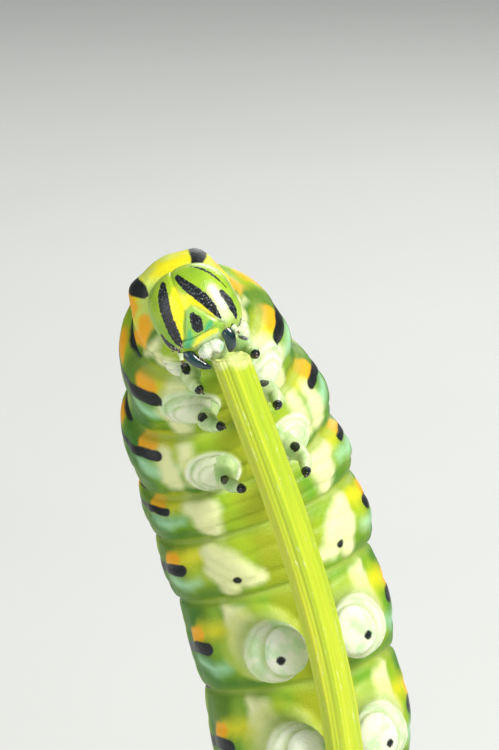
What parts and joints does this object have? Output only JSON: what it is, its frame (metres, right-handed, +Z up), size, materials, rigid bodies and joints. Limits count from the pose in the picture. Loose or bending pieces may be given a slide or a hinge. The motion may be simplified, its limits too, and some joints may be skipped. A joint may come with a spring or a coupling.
{
  "type": "black swallowtail larva",
  "caption": "Life-size swallowtail larva gripping a cut green stem and biting its top, held upright on a small round display base.",
  "frame": {"origin": "centre of the display base's underside", "axes": "+Z up, along the stem and the animal from tail to head; the face and the belly look towards -Y, and the animal's own left is +X"},
  "size_m": [0.038, 0.038, 0.06],
  "materials": {
    "skin": "soft satin skin, green with black bars, orange spots and cream patches",
    "leg": "pale translucent skin with a black claw",
    "face": "glossy lime capsule with black stripes",
    "mouth": "pale translucent mouthparts",
    "horn": "glossy black horn",
    "stem": "satin ribbed plant stem, pale where it is bitten",
    "brass": "satin brass",
    "base_wood": "dark satin walnut"
  },
  "bodies": {
    "root": {"stand_base": "base_wood", "stand_rod": "brass", "stand_cup": "brass", "stem": "stem", "head_capsule": "face", "labrum": "mouth", "mandible_left": "horn", "mandible_right": "horn", "antenna_left": "mouth", "antenna_right": "mouth", "labium": "mouth", "thorax_1": "skin", "thorax_2": "skin", "thorax_3": "skin", "abdomen_1": "skin", "abdomen_2": "skin", "abdomen_3": "skin", "abdomen_4": "skin", "abdomen_5": "skin", "abdomen_6": "skin", "abdomen_7": "skin", "abdomen_8": "skin", "abdomen_9": "skin", "abdomen_10": "skin", "leg_t1_left": "leg", "leg_t1_right": "leg", "leg_t2_left": "leg", "leg_t2_right": "leg", "leg_t3_left": "leg", "leg_t3_right": "leg", "proleg_a3_left": "skin", "proleg_a3_right": "skin", "proleg_a4_left": "skin", "proleg_a4_right": "skin", "proleg_a5_left": "skin", "proleg_a5_right": "skin", "proleg_a6_left": "skin", "proleg_a6_right": "skin", "proleg_tail_left": "skin", "proleg_tail_right": "skin"}
  },
  "joints": []
}
